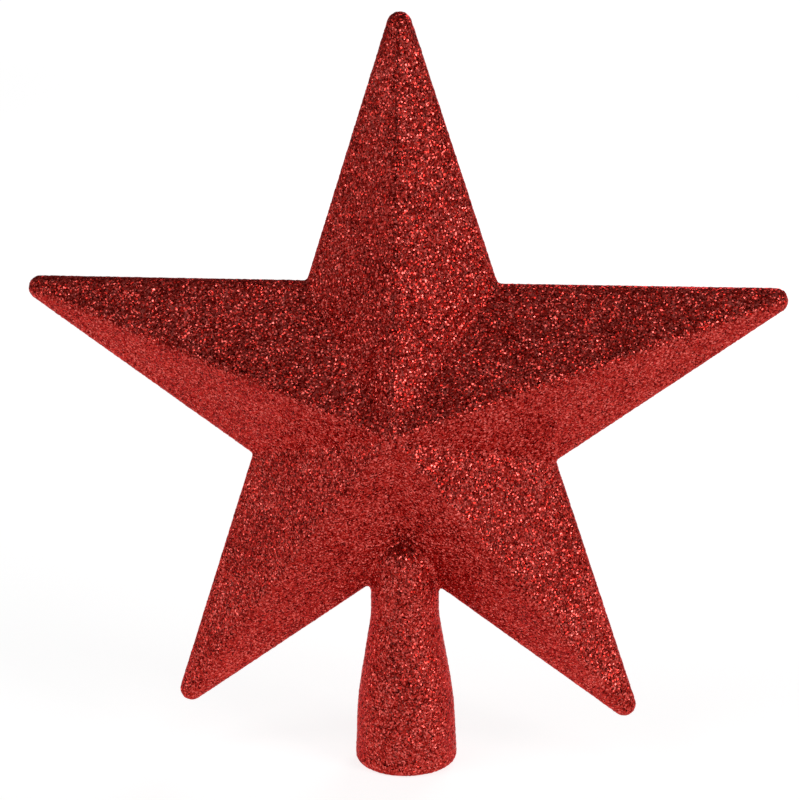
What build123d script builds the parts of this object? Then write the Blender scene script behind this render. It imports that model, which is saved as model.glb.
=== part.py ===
from build123d import *
from math import asin, atan2, cos, hypot, pi, sin, tan
import os

# Christmas tree topper: a hollow five-pointed star on a flared socket neck, covered in glitter.
# Two moulded half shells meet on the plane Y = 0, and one thin glitter coat covers both.
# The origin is the centre of the socket mouth, +Z is up and the front of the star faces -Y.
# All sizes are in millimetres.

# Star, measured over the glitter
POINTS = 5
TIP_REACH = 97.0        # centre to the rounded end of each arm
VALLEY_R = 39.5         # centre to the inner corner between two arms
PEAK_DEPTH = 25.0       # parting plane to the rounded peak of each face
EDGE_ROUND = 3.0        # rounding of every ridge, edge, tip and peak

# Socket neck, measured on its inside from the mouth upwards
BORE_R = 10.5           # straight bore at the mouth
BORE_LENGTH = 17.4
TAPER_LENGTH = 22.0     # from the bore in to the throat
THROAT_BORE_R = 6.85    # narrow part, up to the neck's rounded top
THROAT_LENGTH = 15.1
DOME_RISE = 1.0         # centre of the rounded top above the star's lower inner corner
SKIRT_DRAFT = 0.75      # how much wider the outside is at the mouth than at the top of the bore
LIP_ROUND = 2.0         # rounding under the mouth, on the coat
LIP_CHAMFER = 0.9       # bevel under the mouth, on the plastic
SKIRT_ROUND = 90.0      # long outside curve between the skirt and the taper
THROAT_ROUND = 25.0     # hollow outside curve between the taper and the throat

# Walls and the lap joint between the halves
SHELL_WALL = 1.4
COAT = 0.3
LAP_DEPTH = 0.9         # how far the front half's lip reaches into the rear half
LAP_GAP = 0.05          # clearance beside and past that lip
LEAST_ROUND = 0.3       # smallest rounding left on any inner surface

# Sharp core of an arm: the outer surface is this pyramid grown on all sides by the rounding
SECTOR = pi / POINTS
CORE_REACH = TIP_REACH - EDGE_ROUND
CORE_DEPTH = PEAK_DEPTH - EDGE_ROUND
VALLEY_RUN = CORE_REACH - VALLEY_R * cos(SECTOR)
VALLEY_SIDE = VALLEY_R * sin(SECTOR)
EDGE_ANGLE = atan2(VALLEY_SIDE, VALLEY_RUN) - asin(EDGE_ROUND / hypot(VALLEY_RUN, VALLEY_SIDE))
CORE_HALF = CORE_REACH * tan(EDGE_ANGLE)
CORE_IN_R = 1 / hypot(1 / CORE_HALF, 1 / CORE_DEPTH, 1 / CORE_REACH)

# Worked out for the walls and the neck
FULL_WALL = SHELL_WALL + COAT
LAP_FACE = COAT + SHELL_WALL / 2
SKIRT_R = BORE_R + FULL_WALL
MOUTH_R = SKIRT_R + SKIRT_DRAFT
THROAT_R = THROAT_BORE_R + FULL_WALL
THROAT_Z = BORE_LENGTH + TAPER_LENGTH
DOME_Z = THROAT_Z + THROAT_LENGTH
STAR_Z = DOME_Z - DOME_RISE + VALLEY_R


def arm_body(inset, reach):
    """Solid arm along +Z from the star's centre, cut to its share of the star and to reach."""
    rounding = max(EDGE_ROUND - inset, LEAST_ROUND)
    share = 1 + (EDGE_ROUND - inset - rounding) / CORE_IN_R
    tip = (0, 0, share * CORE_REACH)
    side = share * CORE_HALF
    peak = share * CORE_DEPTH
    base = [(side, 0, 0), (0, peak, 0), (-side, 0, 0), (0, -peak, 0)]
    facets = [Face(Wire.make_polygon([base[turn - 1], base[turn], tip])) for turn in range(len(base))]
    core = Solid(Shell(facets + [Face(Wire.make_polygon(base))]))
    half = reach * tan(SECTOR)
    with BuildPart() as arm:
        add(core)
        offset(amount=rounding, kind=Kind.ARC)
        with BuildSketch(Plane.XZ):
            with BuildLine():
                Polyline((0, 0), (half, reach), (-half, reach), close=True)
            make_face()
        extrude(amount=reach, both=True, mode=Mode.INTERSECT)
    return arm.part


def star_body(inset, reach=2 * TIP_REACH):
    """Solid star whose surface lies inset inside the glitter's surface, with arms no longer than reach."""
    arm = arm_body(inset, reach)
    places = [Location((0, 0, STAR_Z), (0, step * 360 / POINTS, 0)) for step in range(POINTS)]
    with BuildPart() as star:
        with Locations(*places):
            add(arm)
    return star.part


def neck_body(inset):
    """Solid socket neck whose surface lies inset inside the glitter's surface."""
    lip = LIP_CHAMFER if inset else LIP_ROUND
    mouth = Vector(MOUTH_R - inset, inset)
    skirt = Vector(SKIRT_R - inset, BORE_LENGTH)
    throat = Vector(THROAT_R - inset, THROAT_Z)
    shoulder = Vector(THROAT_R - inset, DOME_Z)
    under_lip = mouth - Vector(lip, 0)
    over_lip = mouth + (skirt - mouth).normalized() * lip
    with BuildPart() as neck:
        with BuildSketch(Plane.XZ) as profile:
            with BuildLine():
                Line((0, inset), under_lip)
                if inset:
                    Line(under_lip, over_lip)
                else:
                    Bezier(under_lip, mouth, over_lip)
                Polyline(over_lip, skirt, throat, shoulder)
                CenterArc((0, DOME_Z), THROAT_R - inset, 0, 90)
                Line((0, DOME_Z + THROAT_R - inset), (0, inset))
            make_face()
            fillet(profile.vertices().sort_by_distance(skirt)[0], SKIRT_ROUND - inset)
            fillet(profile.vertices().sort_by_distance(throat)[0], THROAT_ROUND + inset)
        revolve(axis=Axis.Z)
    return neck.part


def neck_hollow():
    """Space inside the neck: a straight bore at the mouth, a taper, and a throat up into the star."""
    with BuildPart() as hollow:
        with BuildSketch(Plane.XZ):
            with BuildLine():
                Polyline(
                    (0, 0),
                    (BORE_R, 0),
                    (BORE_R, BORE_LENGTH),
                    (THROAT_BORE_R, THROAT_Z),
                    (THROAT_BORE_R, DOME_Z),
                )
                CenterArc((0, DOME_Z), THROAT_BORE_R, 0, 90)
                Line((0, DOME_Z + THROAT_BORE_R), (0, 0))
            make_face()
        revolve(axis=Axis.Z)
    return hollow.part


def topper_body(inset):
    """Solid star and neck together, inset inside the glitter's surface."""
    star = star_body(inset)
    neck = neck_body(inset)
    with BuildPart() as body:
        add(star)
        add(neck)
    return body.part


def lap_ring(face_inset, depth):
    """The inner part of the wall, from the parting plane back by depth, where the front half's lip lies."""
    parting_face = section(topper_body(face_inset), section_by=Plane.XZ)
    with BuildPart() as ring:
        extrude(parting_face, amount=depth, dir=(0, 1, 0))
        add(cavity.part, mode=Mode.SUBTRACT)
    return ring.part


# Hollow inside both halves
star_hollow = star_body(FULL_WALL, CORE_REACH)
socket_hollow = neck_hollow()
with BuildPart() as cavity:
    add(star_hollow)
    add(socket_hollow)

# Front half, with the lip of the lap joint all round its inner edge
shell_outside = topper_body(COAT)
lip = lap_ring(LAP_FACE + LAP_GAP, LAP_DEPTH)
with BuildPart() as front_shell:
    add(shell_outside)
    add(cavity.part, mode=Mode.SUBTRACT)
    split(bisect_by=Plane.XZ, keep=Keep.TOP)
    add(lip)

# Rear half, rebated for that lip
rebate = lap_ring(LAP_FACE, LAP_DEPTH + LAP_GAP)
with BuildPart() as rear_shell:
    add(shell_outside)
    add(cavity.part, mode=Mode.SUBTRACT)
    split(bisect_by=Plane.XZ, keep=Keep.BOTTOM)
    add(rebate, mode=Mode.SUBTRACT)

# Glitter coat, one skin over both halves that stops at the edge of the bore
coat_outside = topper_body(0)
with BuildPart() as glitter_coat:
    add(coat_outside)
    add(shell_outside, mode=Mode.SUBTRACT)
    add(socket_hollow, mode=Mode.SUBTRACT)

front_shell.part.label = "front_shell"
rear_shell.part.label = "rear_shell"
glitter_coat.part.label = "glitter_coat"

os.makedirs("parts", exist_ok=True)
export_step(front_shell.part, "parts/front_shell.step")
export_step(rear_shell.part, "parts/rear_shell.step")
export_step(glitter_coat.part, "parts/glitter_coat.step")
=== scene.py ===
import bmesh
import bpy
import math
import numpy as np
from mathutils import Matrix, Vector


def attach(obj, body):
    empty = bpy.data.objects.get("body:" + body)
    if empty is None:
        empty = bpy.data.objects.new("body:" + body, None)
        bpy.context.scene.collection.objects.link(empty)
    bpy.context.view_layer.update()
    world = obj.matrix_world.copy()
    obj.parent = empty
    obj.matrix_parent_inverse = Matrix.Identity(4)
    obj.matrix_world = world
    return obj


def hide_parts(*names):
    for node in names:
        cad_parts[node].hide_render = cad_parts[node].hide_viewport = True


# Red glitter star on its socket neck. The coat is dressed as a front and a rear half of fine flakes,
# and the two plastic shells keep the form of the part. Lengths are in metres, in the part's frame.

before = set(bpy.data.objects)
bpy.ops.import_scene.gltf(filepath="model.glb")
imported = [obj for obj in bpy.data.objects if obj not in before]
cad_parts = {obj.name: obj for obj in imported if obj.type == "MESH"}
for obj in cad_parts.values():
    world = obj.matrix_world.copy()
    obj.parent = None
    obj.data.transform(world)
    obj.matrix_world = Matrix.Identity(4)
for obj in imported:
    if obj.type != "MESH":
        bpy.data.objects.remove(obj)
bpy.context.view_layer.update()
scene = bpy.context.scene

SEED = 11
rng = np.random.default_rng(SEED)

# Star
POINTS = 5
ARM_ANGLES = [math.pi / 2 + step * 2 * math.pi / POINTS for step in range(POINTS)]
STAR_CENTRE = (0, 0, 0.093)
EDGE_ROUND = 0.003

# Neck: its outside as heights and radii, and how far off it a face still belongs to the neck
BORE_R = 0.0105
MOUTH_R = 0.01295
LIP = 0.002
NECK_PROFILE = ((0.0, MOUTH_R), (0.0174, 0.0122), (0.0394, 0.00855), (0.0545, 0.00855))
NECK_SLACK = 0.00035

# Sharp core of an arm, whose facets the ridges' normals are drawn towards
CORE_HALF, CORE_DEPTH, CORE_REACH = 0.0304, 0.0220, 0.0940
FACET_TURN = math.radians(37.3)     # between a facet's normal and straight ahead
RIDGE_TURN = math.radians(35.2)     # between a facet's normal and the middle of a ridge
RIDGE_SHARPNESS = 3.0
NECK_TOP, NECK_HALF = 0.058, 0.014  # part near the neck that keeps its smooth normals

# Relief of the flakes
WELD_DIGITS = 7         # decimals at which two corners of the coat are one
FLAKE = 0.00055
FLAKE_SHIFT = 0.00016
FLAKE_BUMP = 0.00004
BUMP_LIMIT = 2.2 * FLAKE_BUMP

# Edge of the coat at the socket mouth
TOUCH = 0.00002         # how near the mouth's plane or the bore a face counts as on it
COAT_EDGE = 0.0004      # height within which the coat ends inside the bore
CAP_DEPTH = 0.0003      # height within which the cap over the mouth is cut away
EDGE_TURN = 0.00035     # how far the coat's edge turns up into the bore

# Flat map of a half: how it is fitted to the unit square, and where the unrolled neck lies
MAP_SHIFT = np.array((0.0970, 0.0020))
MAP_SIZE = 0.194
NECK_U, NECK_V = -0.0690, 0.1344
LEAST_SLOPE = 0.1       # keeps a division from growing where the surface faces straight ahead

# Flakes in the material, and slow drifts in how they lie
CELLS_PER_METRE = 2900.0
FLAKE_LEAN = 0.95
DRIFTS_PER_METRE = 90.0
DRIFT_DETAIL = 2.0
DRIFT_LEAN = 0.4
DRIFT_TONE = 0.25
MIDDLE = 0.5            # mean of a noise
FLAKE_METAL = 0.77
FLAKE_ROUGHNESS = 0.16
FLAKE_TINT = (1, 0.1, 0.07, 1)

# Flake colours, from the darkest to the brightest, one drawn at random for each flake. Partly painted
# light: the darkest are painted shade, like flakes turned away from the light, and the pale pink of the
# brightest is a painted glint, like flakes catching a lamp
TONES_WITH_PAINTED_GLINT = (
    (0.0, (0.06, 0.0006, 0.0004, 1)),
    (0.15, (0.265, 0.0068, 0.0046, 1)),
    (0.5, (0.50, 0.0280, 0.0208, 1)),
    (0.82, (0.69, 0.0780, 0.0640, 1)),
    (1.0, (0.94, 0.1700, 0.1440, 1)),
)

# Plastic inside the socket
MOTTLE = ((0.0, (0.36, 0.016, 0.02, 1)), (1.0, (0.47, 0.026, 0.03, 1)))
MOTTLES_PER_METRE = 180.0
MOTTLE_DETAIL = 4.0
MOTTLE_STRENGTH = 0.15
MOTTLE_HEIGHT = 0.0002
PLASTIC_ROUGHNESS = 0.38

# Floor, and its glow by place from front to back. A spot to the side counts as further forward
FLOOR_R = 12.0
FLOOR_SIDES = 96
FLOOR_GREY = 0.5
FLOOR_ROUGHNESS = 0.9
FLOOR_SHINE = 0.1
FLOOR_BEND = -0.6
FLOOR_GLOW = (
    (-1.00, 0.44),
    (-0.25, 0.37),
    (-0.036, 0.80),
    (0.40, 0.815),
    (0.70, 0.86),
    (1.15, 0.925),
    (1.5, 0.95),
)

# Walls' brightness by the height of the direction
WALL_GLOW = ((0.0, 0.53), (0.03, 0.39), (0.07, 0.32), (0.15, 0.24), (0.5, 0.12))

# Lamps: name, place, width and watts
LAMPS = (
    ("right_box", (0.75, -0.45, 0.40), 0.36, 2.2),
    ("left_box", (-0.85, -0.35, 0.40), 0.30, 0.75),
    ("top_left_box", (-0.62, -0.5, 0.95), 0.52, 1.3),
    ("top_right_box", (0.40, -0.5, 0.95), 0.42, 0.5),
    ("back_box", (0.2, 0.8, 0.5), 0.4, 1.6),
)

# Camera: angles in degrees, and the focal length and offsets in pixels of the frame
AZIMUTH, ELEVATION, ROLL = 6.6, 16.5, -0.55
FRAME_PX, FOCAL_PX, RIGHT_PX, UP_PX = 800.0, 2387.0, 3.1, -9.0
DISTANCE_MM, SENSOR_MM = 585.5, 36.0
MM_PER_M = 1000
NEAR_CLIP = 0.01


def vectors(holder, key):
    """One vector of every element in a mesh's collection, as rows."""
    values = np.empty(len(holder) * 3)
    holder.foreach_get(key, values)
    return values.reshape(-1, 3)


def unit_rows(rows):
    """The rows at length one."""
    return rows / np.linalg.norm(rows, axis=1)[:, None]


def node_arrays(name):
    """Welded vertices and triangles of a CAD node."""
    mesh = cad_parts[name].data
    mesh.calc_loop_triangles()
    corners = np.empty(len(mesh.loop_triangles) * 3, np.int32)
    mesh.loop_triangles.foreach_get("vertices", corners)
    points = np.round(vectors(mesh.vertices, "co"), WELD_DIGITS)
    points, same = np.unique(points, axis=0, return_inverse=True)
    tris = same.reshape(-1)[corners].reshape(-1, 3)
    whole = (tris[:, 0] != tris[:, 1]) & (tris[:, 1] != tris[:, 2]) & (tris[:, 2] != tris[:, 0])
    return points, tris[whole]


def axis_points(spots):
    """Nearest point to each spot on the axis of the neck or of an arm."""
    centre = np.array(STAR_CENTRE)
    ends = [(np.zeros(3), centre)]
    for angle in ARM_ANGLES:
        ends.append((centre, centre + CORE_REACH * np.array((math.cos(angle), 0, math.sin(angle)))))
    best = np.full(len(spots), np.inf)
    near = np.zeros_like(spots)
    for start, end in ends:
        run = end - start
        share = np.clip((spots - start) @ run / (run @ run), 0, 1)
        foot = start + share[:, None] * run
        gap = np.linalg.norm(spots - foot, axis=1)
        closer = gap < best
        best[closer] = gap[closer]
        near[closer] = foot[closer]
    return near


def outer_skin():
    """The coat's outer surface as a closed mesh, with a flat cap over the socket mouth."""
    points, tris = node_arrays("glitter_coat")
    a, b, c = (points[tris[:, k]] for k in range(3))
    middle = (a + b + c) / 3
    outward = np.einsum("ij,ij->i", np.cross(b - a, c - a), middle - axis_points(middle)) > 0
    under = middle[:, 2] < TOUCH
    in_bore = (middle[:, 2] < COAT_EDGE) & (np.hypot(middle[:, 0], middle[:, 1]) < BORE_R + TOUCH)
    mesh = bpy.data.meshes.new("skin")
    mesh.from_pydata(points.tolist(), [], tris[under | (outward & ~in_bore)].tolist())
    bm = bmesh.new()
    bm.from_mesh(mesh)
    bmesh.ops.delete(bm, geom=[v for v in bm.verts if not v.link_faces], context="VERTS")
    bmesh.ops.holes_fill(bm, edges=[e for e in bm.edges if e.is_boundary])
    bmesh.ops.recalc_face_normals(bm, faces=bm.faces)
    bm.to_mesh(mesh)
    bm.free()
    return mesh


def flake_mesh():
    """The skin as thousands of small flat flakes, each moved and tilted a little."""
    solid = bpy.data.objects.new("solid", outer_skin())
    scene.collection.objects.link(solid)
    remesh = solid.modifiers.new("flakes", "REMESH")
    remesh.mode = "VOXEL"
    remesh.voxel_size = FLAKE
    mesh = bpy.data.meshes.new_from_object(solid.evaluated_get(bpy.context.evaluated_depsgraph_get()))
    bpy.data.objects.remove(solid)
    points = vectors(mesh.vertices, "co")
    normals = vectors(mesh.vertex_normals, "vector")
    lay = mesh.attributes.new("lay", "FLOAT_VECTOR", "POINT")
    lay.data.foreach_set("vector", normals.ravel())
    slide = rng.uniform(-FLAKE_SHIFT, FLAKE_SHIFT, points.shape)
    slide -= normals * np.einsum("ij,ij->i", slide, normals)[:, None]
    lift = np.clip(rng.normal(0, FLAKE_BUMP, len(points)), -BUMP_LIMIT, BUMP_LIMIT)
    points = points + slide + normals * lift[:, None]
    points[:, 2] = np.maximum(points[:, 2], 0)
    mesh.vertices.foreach_set("co", points.ravel())
    return mesh


def trim_mouth(mesh):
    """Opens the socket mouth, and turns the coat's edge up into the bore."""
    bm = bmesh.new()
    bm.from_mesh(mesh)
    inside = [v for v in bm.verts if v.co.z < CAP_DEPTH and math.hypot(v.co.x, v.co.y) < BORE_R]
    bmesh.ops.delete(bm, geom=inside, context="VERTS")
    rim = [e for e in bm.edges if e.is_boundary]
    turned = {}
    for v in dict.fromkeys(v for e in rim for v in e.verts):
        reach = math.hypot(v.co.x, v.co.y)
        v.co = Vector((v.co.x * BORE_R / reach, v.co.y * BORE_R / reach, 0))
        turned[v] = bm.verts.new((v.co.x, v.co.y, EDGE_TURN), v)
    for corner in [e.link_loops[0] for e in rim]:
        start, end = corner.vert, corner.link_loop_next.vert
        bm.faces.new((end, start, turned[start], turned[end]))
    bm.to_mesh(mesh)
    bm.free()


def facet_normals():
    """Outward normals of the star's flat facets, front and rear."""
    slopes = 1 / np.array((CORE_HALF, CORE_DEPTH, CORE_REACH))
    across, deep, along = slopes / np.linalg.norm(slopes)
    normals = []
    for angle in ARM_ANGLES:
        arm = np.array((math.cos(angle), 0, math.sin(angle)))
        beside = np.array((-math.sin(angle), 0, math.cos(angle)))
        for left in (-across, across):
            for rear in (-deep, deep):
                normals.append(arm * along + beside * left + np.array((0, rear, 0)))
    return np.array(normals)


def crisp_normals(points, lay):
    """The smooth normals, with the turn over each ridge drawn together towards its middle."""
    facets = facet_normals()
    facing = lay @ facets.T
    nearest = facets[facing.argmax(axis=1)]
    away = np.arccos(np.clip(facing.max(axis=1), -1, 1))
    share = np.clip((1 - away / RIDGE_TURN) * RIDGE_SHARPNESS, 0, 1)
    past_ridge = np.hypot(lay[:, 0], lay[:, 2]) > math.sin(FACET_TURN)
    on_neck = (points[:, 2] < NECK_TOP) & (np.abs(points[:, 0]) < NECK_HALF)
    share = np.where(past_ridge | on_neck, 0, share)[:, None]
    return unit_rows(lay * (1 - share) + nearest * share)


def flat_map(points, lay, on_neck, side):
    """Flat map of one half: the star as seen straight on, and the neck unrolled in a free corner."""
    across = points[:, 0] * side
    out = np.hypot(lay[:, 0], lay[:, 2])
    turn = np.arcsin(np.clip(out, 0, 1))
    past = np.maximum(turn - FACET_TURN, 0)
    push = EDGE_ROUND * (past - np.maximum(np.sin(turn) - math.sin(FACET_TURN), 0))
    push = push / np.maximum(out, LEAST_SLOPE)
    star = np.column_stack((across + push * lay[:, 0] * side, points[:, 2] + push * lay[:, 2]))
    reach = np.hypot(points[:, 0], points[:, 1])
    angle = np.arctan2(across, -points[:, 1] * side)
    under = np.where(points[:, 2] < LIP, MOUTH_R - np.minimum(reach, MOUTH_R), 0)
    neck = np.column_stack((NECK_U + angle * MOUTH_R, NECK_V + points[:, 2] - under))
    return (np.where(on_neck[:, None], neck, star) + MAP_SHIFT) / MAP_SIZE


def half_coat(mesh, name, side):
    """Front half of the flake mesh for side 1, rear half for side -1.

    Its normals are those of the whole mesh, so that the halves meet without a seam.
    """
    points = vectors(mesh.vertices, "co")
    lay = vectors(mesh.attributes["lay"].data, "vector")
    normals = unit_rows(vectors(mesh.vertex_normals, "vector") - lay + crisp_normals(points, lay))
    faces = [p.vertices[:] for p in mesh.polygons]
    middle = np.array([points[list(f)].mean(axis=0) for f in faces])
    keep = np.flatnonzero((middle[:, 1] < 0) == (side > 0))
    corners = np.concatenate([faces[k] for k in keep])
    sizes = [len(faces[k]) for k in keep]
    used, index = np.unique(corners, return_inverse=True)
    loops = [part.tolist() for part in np.split(index, np.cumsum(sizes)[:-1])]
    half = bpy.data.meshes.new(name)
    half.from_pydata(points[used].tolist(), [], loops)
    half.shade_smooth()
    half.normals_split_custom_set_from_vertices(normals[used].tolist())
    reach = np.hypot(middle[:, 0], middle[:, 1])
    radius = np.interp(middle[:, 2], *zip(*NECK_PROFILE))
    on_neck = (middle[:, 2] < NECK_PROFILE[-1][0]) & (reach < radius + NECK_SLACK)
    flat = half.uv_layers.new(name="OFBake")
    uv = flat_map(points[corners], lay[corners], np.repeat(on_neck[keep], sizes), side)
    flat.data.foreach_set("uv", uv.ravel())
    piece = bpy.data.objects.new(name, half)
    scene.collection.objects.link(piece)
    return piece


def grey(level):
    """A neutral colour."""
    return (level, level, level, 1)


def new_material(name):
    """A material with its node tree and shader."""
    material = bpy.data.materials.new(name)
    material.use_nodes = True
    return material, material.node_tree, material.node_tree.nodes["Principled BSDF"]


def add_node(tree, kind, inputs=None):
    """New node. Each input is an output of another node to link, or a value."""
    node = tree.nodes.new("ShaderNode" + kind)
    for socket, source in (inputs or {}).items():
        if isinstance(source, bpy.types.NodeSocket):
            tree.links.new(source, node.inputs[socket])
        else:
            node.inputs[socket].default_value = source
    return node


def combine(tree, kind, operation, *sources):
    """Output of a math or vector math node on its sources."""
    node = add_node(tree, kind, dict(enumerate(sources)))
    node.operation = operation
    return node.outputs[0]


def ramp_colour(tree, share, stops):
    """Output of a colour ramp whose stops are given from the first to the last."""
    ramp = add_node(tree, "ValToRGB", {"Fac": share})
    elements = ramp.color_ramp.elements
    elements[0].position, elements[0].color = stops[0]
    elements[1].position, elements[1].color = stops[-1]
    for position, colour in stops[1:-1]:
        elements.new(position).color = colour
    return ramp.outputs["Color"]


def glitter_material():
    """Red metallised flakes in clear glue: every cell is one flake with a tilt and a tone of its own.
    The tone is partly painted light: some flakes are painted dark as if in shade, some pale pink as if
    glinting in a lamp.
    """
    material, tree, shader = new_material("red_glitter")
    place = add_node(tree, "TexCoord").outputs["Object"]
    cell = add_node(tree, "TexVoronoi", {"Vector": place, "Scale": CELLS_PER_METRE}).outputs["Color"]
    grain = {"Vector": place, "Scale": DRIFTS_PER_METRE, "Detail": DRIFT_DETAIL}
    drift = add_node(tree, "TexNoise", grain).outputs

    chance = add_node(tree, "TexWhiteNoise", {"Vector": cell}).outputs["Value"]
    level = combine(tree, "Math", "SUBTRACT", drift["Fac"], MIDDLE)
    # painted light in part: the random tone also paints some flakes dark as shade and some pale pink as
    # glints
    tone_and_glint = combine(tree, "Math", "MULTIPLY_ADD", level, DRIFT_TONE, chance)
    tree.links.new(ramp_colour(tree, tone_and_glint, TONES_WITH_PAINTED_GLINT), shader.inputs["Base Color"])

    normal = add_node(tree, "NewGeometry").outputs["Normal"]
    for source, lean in ((drift["Color"], DRIFT_LEAN), (cell, FLAKE_LEAN)):
        tilt = combine(tree, "VectorMath", "SUBTRACT", source, (MIDDLE,) * 3)
        normal = combine(tree, "VectorMath", "MULTIPLY_ADD", tilt, (lean,) * 3, normal)
    tree.links.new(combine(tree, "VectorMath", "NORMALIZE", normal), shader.inputs["Normal"])

    shader.inputs["Metallic"].default_value = FLAKE_METAL
    shader.inputs["Roughness"].default_value = FLAKE_ROUGHNESS
    shader.inputs["Specular Tint"].default_value = FLAKE_TINT
    return material


def plastic_material():
    """Moulded red plastic with a faint mottle, bare inside the socket."""
    material, tree, shader = new_material("red_plastic")
    place = add_node(tree, "TexCoord").outputs["Object"]
    grain = {"Vector": place, "Scale": MOTTLES_PER_METRE, "Detail": MOTTLE_DETAIL}
    cloud = add_node(tree, "TexNoise", grain).outputs["Fac"]
    relief = {"Height": cloud, "Strength": MOTTLE_STRENGTH, "Distance": MOTTLE_HEIGHT}
    tree.links.new(ramp_colour(tree, cloud, MOTTLE), shader.inputs["Base Color"])
    tree.links.new(add_node(tree, "Bump", relief).outputs["Normal"], shader.inputs["Normal"])
    shader.inputs["Roughness"].default_value = PLASTIC_ROUGHNESS
    return material


def floor_material():
    """Pale ground whose glow shows only to the camera and in reflections."""
    material, tree, shader = new_material("white_floor")
    shader.inputs["Base Color"].default_value = grey(FLOOR_GREY)
    shader.inputs["Roughness"].default_value = FLOOR_ROUGHNESS
    shader.inputs["Specular IOR Level"].default_value = FLOOR_SHINE

    place = add_node(tree, "TexCoord").outputs["Object"]
    spot = add_node(tree, "SeparateXYZ", {"Vector": place}).outputs
    aside = combine(tree, "Math", "MULTIPLY", spot["X"], spot["X"])
    bent = combine(tree, "Math", "MULTIPLY_ADD", aside, FLOOR_BEND, spot["Y"])
    front, back = FLOOR_GLOW[0][0], FLOOR_GLOW[-1][0]
    share = add_node(tree, "MapRange", {"Value": bent, "From Min": front, "From Max": back})
    stops = [((far - front) / (back - front), grey(level)) for far, level in FLOOR_GLOW]
    glow = add_node(tree, "Emission", {"Color": ramp_colour(tree, share.outputs["Result"], stops)})

    path = add_node(tree, "LightPath").outputs
    seen = combine(tree, "Math", "MAXIMUM", path["Is Camera Ray"], path["Is Glossy Ray"])
    seen = combine(tree, "Math", "MAXIMUM", seen, path["Is Transmission Ray"])
    lit = shader.outputs[0]
    both = add_node(tree, "AddShader", {0: lit, 1: glow.outputs[0]})
    mix = add_node(tree, "MixShader", {"Fac": seen, 1: lit, 2: both.outputs[0]})
    tree.links.new(mix.outputs[0], tree.nodes["Material Output"].inputs["Surface"])
    return material


def pale_floor():
    """White floor that keeps the object's shadow, and turns greyer far in front of the object."""
    bm = bmesh.new()
    bmesh.ops.create_circle(bm, cap_ends=True, segments=FLOOR_SIDES, radius=FLOOR_R)
    mesh = bpy.data.meshes.new("floor")
    bm.to_mesh(mesh)
    bm.free()
    mesh.materials.append(floor_material())
    floor = bpy.data.objects.new("floor", mesh)
    scene.collection.objects.link(floor)


def soft_lamp(name, place, width, watts):
    """Square lamp that faces the middle of the star."""
    lamp = bpy.data.lights.new(name, "AREA")
    lamp.size = width
    lamp.energy = watts
    holder = bpy.data.objects.new(name, lamp)
    holder.location = place
    holder.rotation_euler = (Vector(STAR_CENTRE) - Vector(place)).to_track_quat("-Z", "Y").to_euler()
    scene.collection.objects.link(holder)


def studio_world():
    """Pale walls near the floor's level, darker above."""
    world = bpy.data.worlds.new("studio")
    world.use_nodes = True
    tree = world.node_tree
    direction = add_node(tree, "TexCoord").outputs["Generated"]
    height = add_node(tree, "SeparateXYZ", {"Vector": direction}).outputs["Z"]
    stops = [(rise, grey(level)) for rise, level in WALL_GLOW]
    tree.links.new(ramp_colour(tree, height, stops), tree.nodes["Background"].inputs["Color"])
    scene.world = world


def photo_camera():
    """Camera at the place, turn and focal length fitted to the photograph."""
    az, el, roll = (math.radians(v) for v in (AZIMUTH, ELEVATION, ROLL))
    back = Vector((math.sin(az) * math.cos(el), -math.cos(az) * math.cos(el), math.sin(el)))
    level = Vector((math.cos(az), math.sin(az), 0))
    rise = back.cross(level)
    right = level * math.cos(roll) + rise * math.sin(roll)
    up = rise * math.cos(roll) - level * math.sin(roll)
    camera = bpy.data.objects.new("camera", bpy.data.cameras.new("camera"))
    camera.data.sensor_width = SENSOR_MM
    camera.data.lens = FOCAL_PX * SENSOR_MM / FRAME_PX
    camera.data.shift_x = -RIGHT_PX / FRAME_PX
    camera.data.shift_y = -UP_PX / FRAME_PX
    camera.data.clip_start = NEAR_CLIP
    turn = Matrix((right, up, back)).transposed().to_4x4()
    camera.matrix_world = Matrix.Translation(Vector(STAR_CENTRE) + back * DISTANCE_MM / MM_PER_M) @ turn
    scene.collection.objects.link(camera)
    scene.camera = camera


flakes = flake_mesh()
trim_mouth(flakes)
glitter = glitter_material()
for name, side in (("glitter_front", 1), ("glitter_rear", -1)):
    piece = half_coat(flakes, name, side)
    piece.data.materials.append(glitter)
    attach(piece, "root")
    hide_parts("glitter_coat")
bpy.data.meshes.remove(flakes)

plastic = plastic_material()
for name in ("front_shell", "rear_shell"):
    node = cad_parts[name]
    node.data.materials.clear()
    node.data.materials.append(plastic)

pale_floor()
for lamp in LAMPS:
    soft_lamp(*lamp)
studio_world()
photo_camera()
scene.view_settings.view_transform = "Standard"
